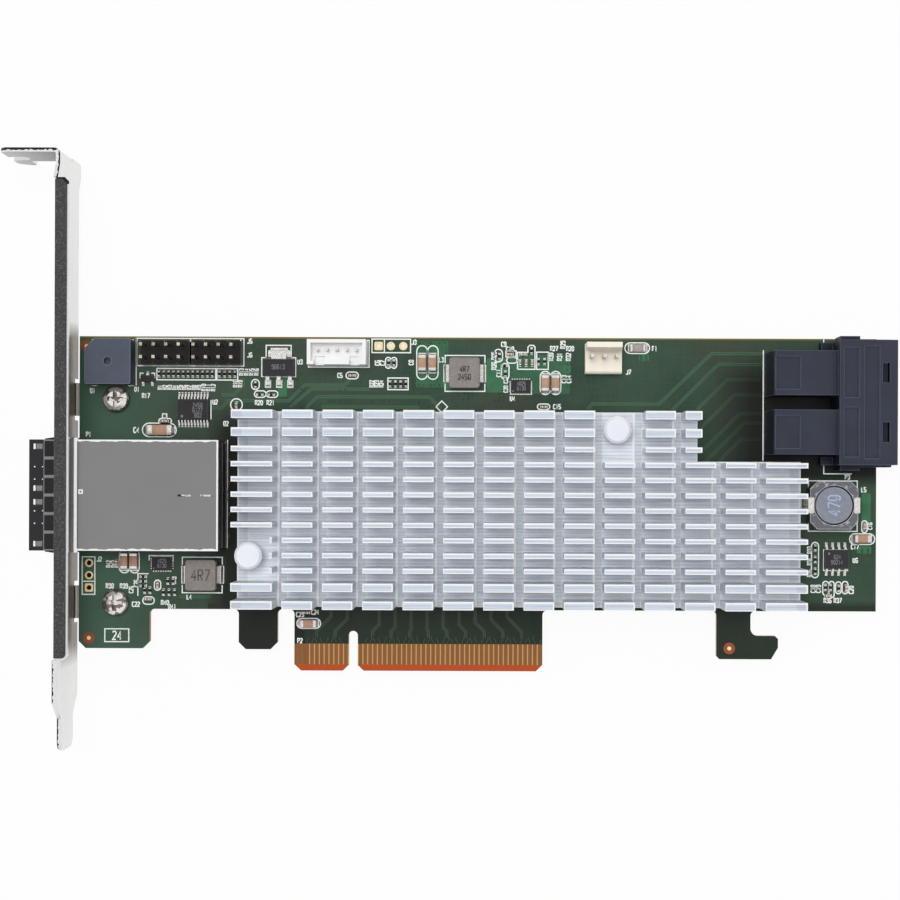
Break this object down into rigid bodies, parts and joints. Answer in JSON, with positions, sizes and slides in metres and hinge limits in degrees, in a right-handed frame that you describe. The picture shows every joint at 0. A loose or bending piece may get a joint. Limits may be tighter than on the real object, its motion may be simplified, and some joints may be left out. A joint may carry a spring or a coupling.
{
  "type": "raid controller card",
  "caption": "Server storage controller card: keyed slot tongue, full-height steel bracket, pin-fin heatsink, caged outside cable ports, inside cable ports, sounder and pin headers.",
  "frame": {"origin": "middle of the tongue's key notch along X, the tongue's lower edge in Y, the middle of the board's thickness in Z", "axes": "+X along the board away from the bracket, +Y away from the slot, +Z out of the component side"},
  "size_m": [0.18, 0.1211, 0.0206],
  "materials": {
    "board": "satin green solder mask",
    "gold_plate": "satin gold plating",
    "bracket_steel": "zinc-plated sheet",
    "conductive_foam": "matt speckled",
    "screw_steel": "nickel plated",
    "cage_metal": "satin nickel plated",
    "spring_metal": "bright sheet",
    "dark_plastic": "fine matt",
    "chip_package": "satin",
    "lid_metal": "satin nickel",
    "thermal_pad": "matt",
    "heatsink_aluminium": "clear anodised",
    "pin_plastic": "gloss white",
    "spring_steel": "bright wire",
    "housing_plastic": "fine matt blue-grey",
    "sounder_plastic": "satin",
    "header_plastic": "satin black",
    "header_pins": "gold flash",
    "white_plastic": "satin white",
    "cream_plastic": "satin cream",
    "coil_core": "matt grey pressed powder",
    "drum_ferrite": "matt dark ferrite",
    "solder_metal": "tinned",
    "chip_epoxy": "matt black",
    "ceramic": "fine matt brown",
    "resistor_coat": "gloss black",
    "fuse_coat": "pale gloss"
  },
  "bodies": {
    "root": {"circuit_board": "board", "edge_contacts": "gold_plate", "mounting_bracket": "bracket_steel", "bracket_gasket": "conductive_foam", "bracket_screw_upper": "screw_steel", "bracket_screw_lower": "screw_steel", "external_port_cage": "cage_metal", "external_port_front_frame": "dark_plastic", "external_port_spring_collar": "spring_metal", "external_port_insert_upper": "dark_plastic", "external_port_insert_lower": "dark_plastic", "external_port_contacts": "gold_plate", "controller_substrate": "chip_package", "controller_lid": "lid_metal", "thermal_pad": "thermal_pad", "heatsink": "heatsink_aluminium", "push_pin_right": "pin_plastic", "push_pin_left": "pin_plastic", "push_pin_spring_right": "spring_steel", "push_pin_spring_left": "spring_steel", "internal_port_housing": "housing_plastic", "internal_port_insert_upper": "dark_plastic", "internal_port_insert_lower": "dark_plastic", "internal_port_contacts": "gold_plate", "sounder_case": "sounder_plastic", "sounder_terminals": "solder_metal", "activity_header_body": "header_plastic", "activity_header_pins": "header_pins", "fault_header_body": "header_plastic", "fault_header_pins": "header_pins", "data_connector_body": "white_plastic", "data_connector_pins": "solder_metal", "fan_connector_body": "cream_plastic", "fan_connector_pins": "solder_metal", "inductor_upper_core": "coil_core", "inductor_upper_clips": "solder_metal", "inductor_lower_core": "coil_core", "inductor_lower_clips": "solder_metal", "drum_inductor_shield": "drum_ferrite", "drum_inductor_core": "drum_ferrite", "drum_inductor_terminals": "solder_metal", "regulator_body": "chip_epoxy", "regulator_leads": "solder_metal", "buffer_chip_body": "chip_epoxy", "buffer_chip_leads": "solder_metal", "memory_chip_body": "chip_epoxy", "memory_chip_leads": "solder_metal", "transistor_body": "chip_epoxy", "transistor_leads": "solder_metal", "power_chip_upper": "chip_epoxy", "power_chip_lower": "chip_epoxy", "capacitor_bodies": "ceramic", "capacitor_ends": "solder_metal", "small_capacitor_bodies": "ceramic", "small_capacitor_ends": "solder_metal", "resistor_bodies": "resistor_coat", "resistor_ends": "solder_metal", "fuse_body": "fuse_coat", "fuse_ends": "solder_metal"}
  },
  "joints": []
}
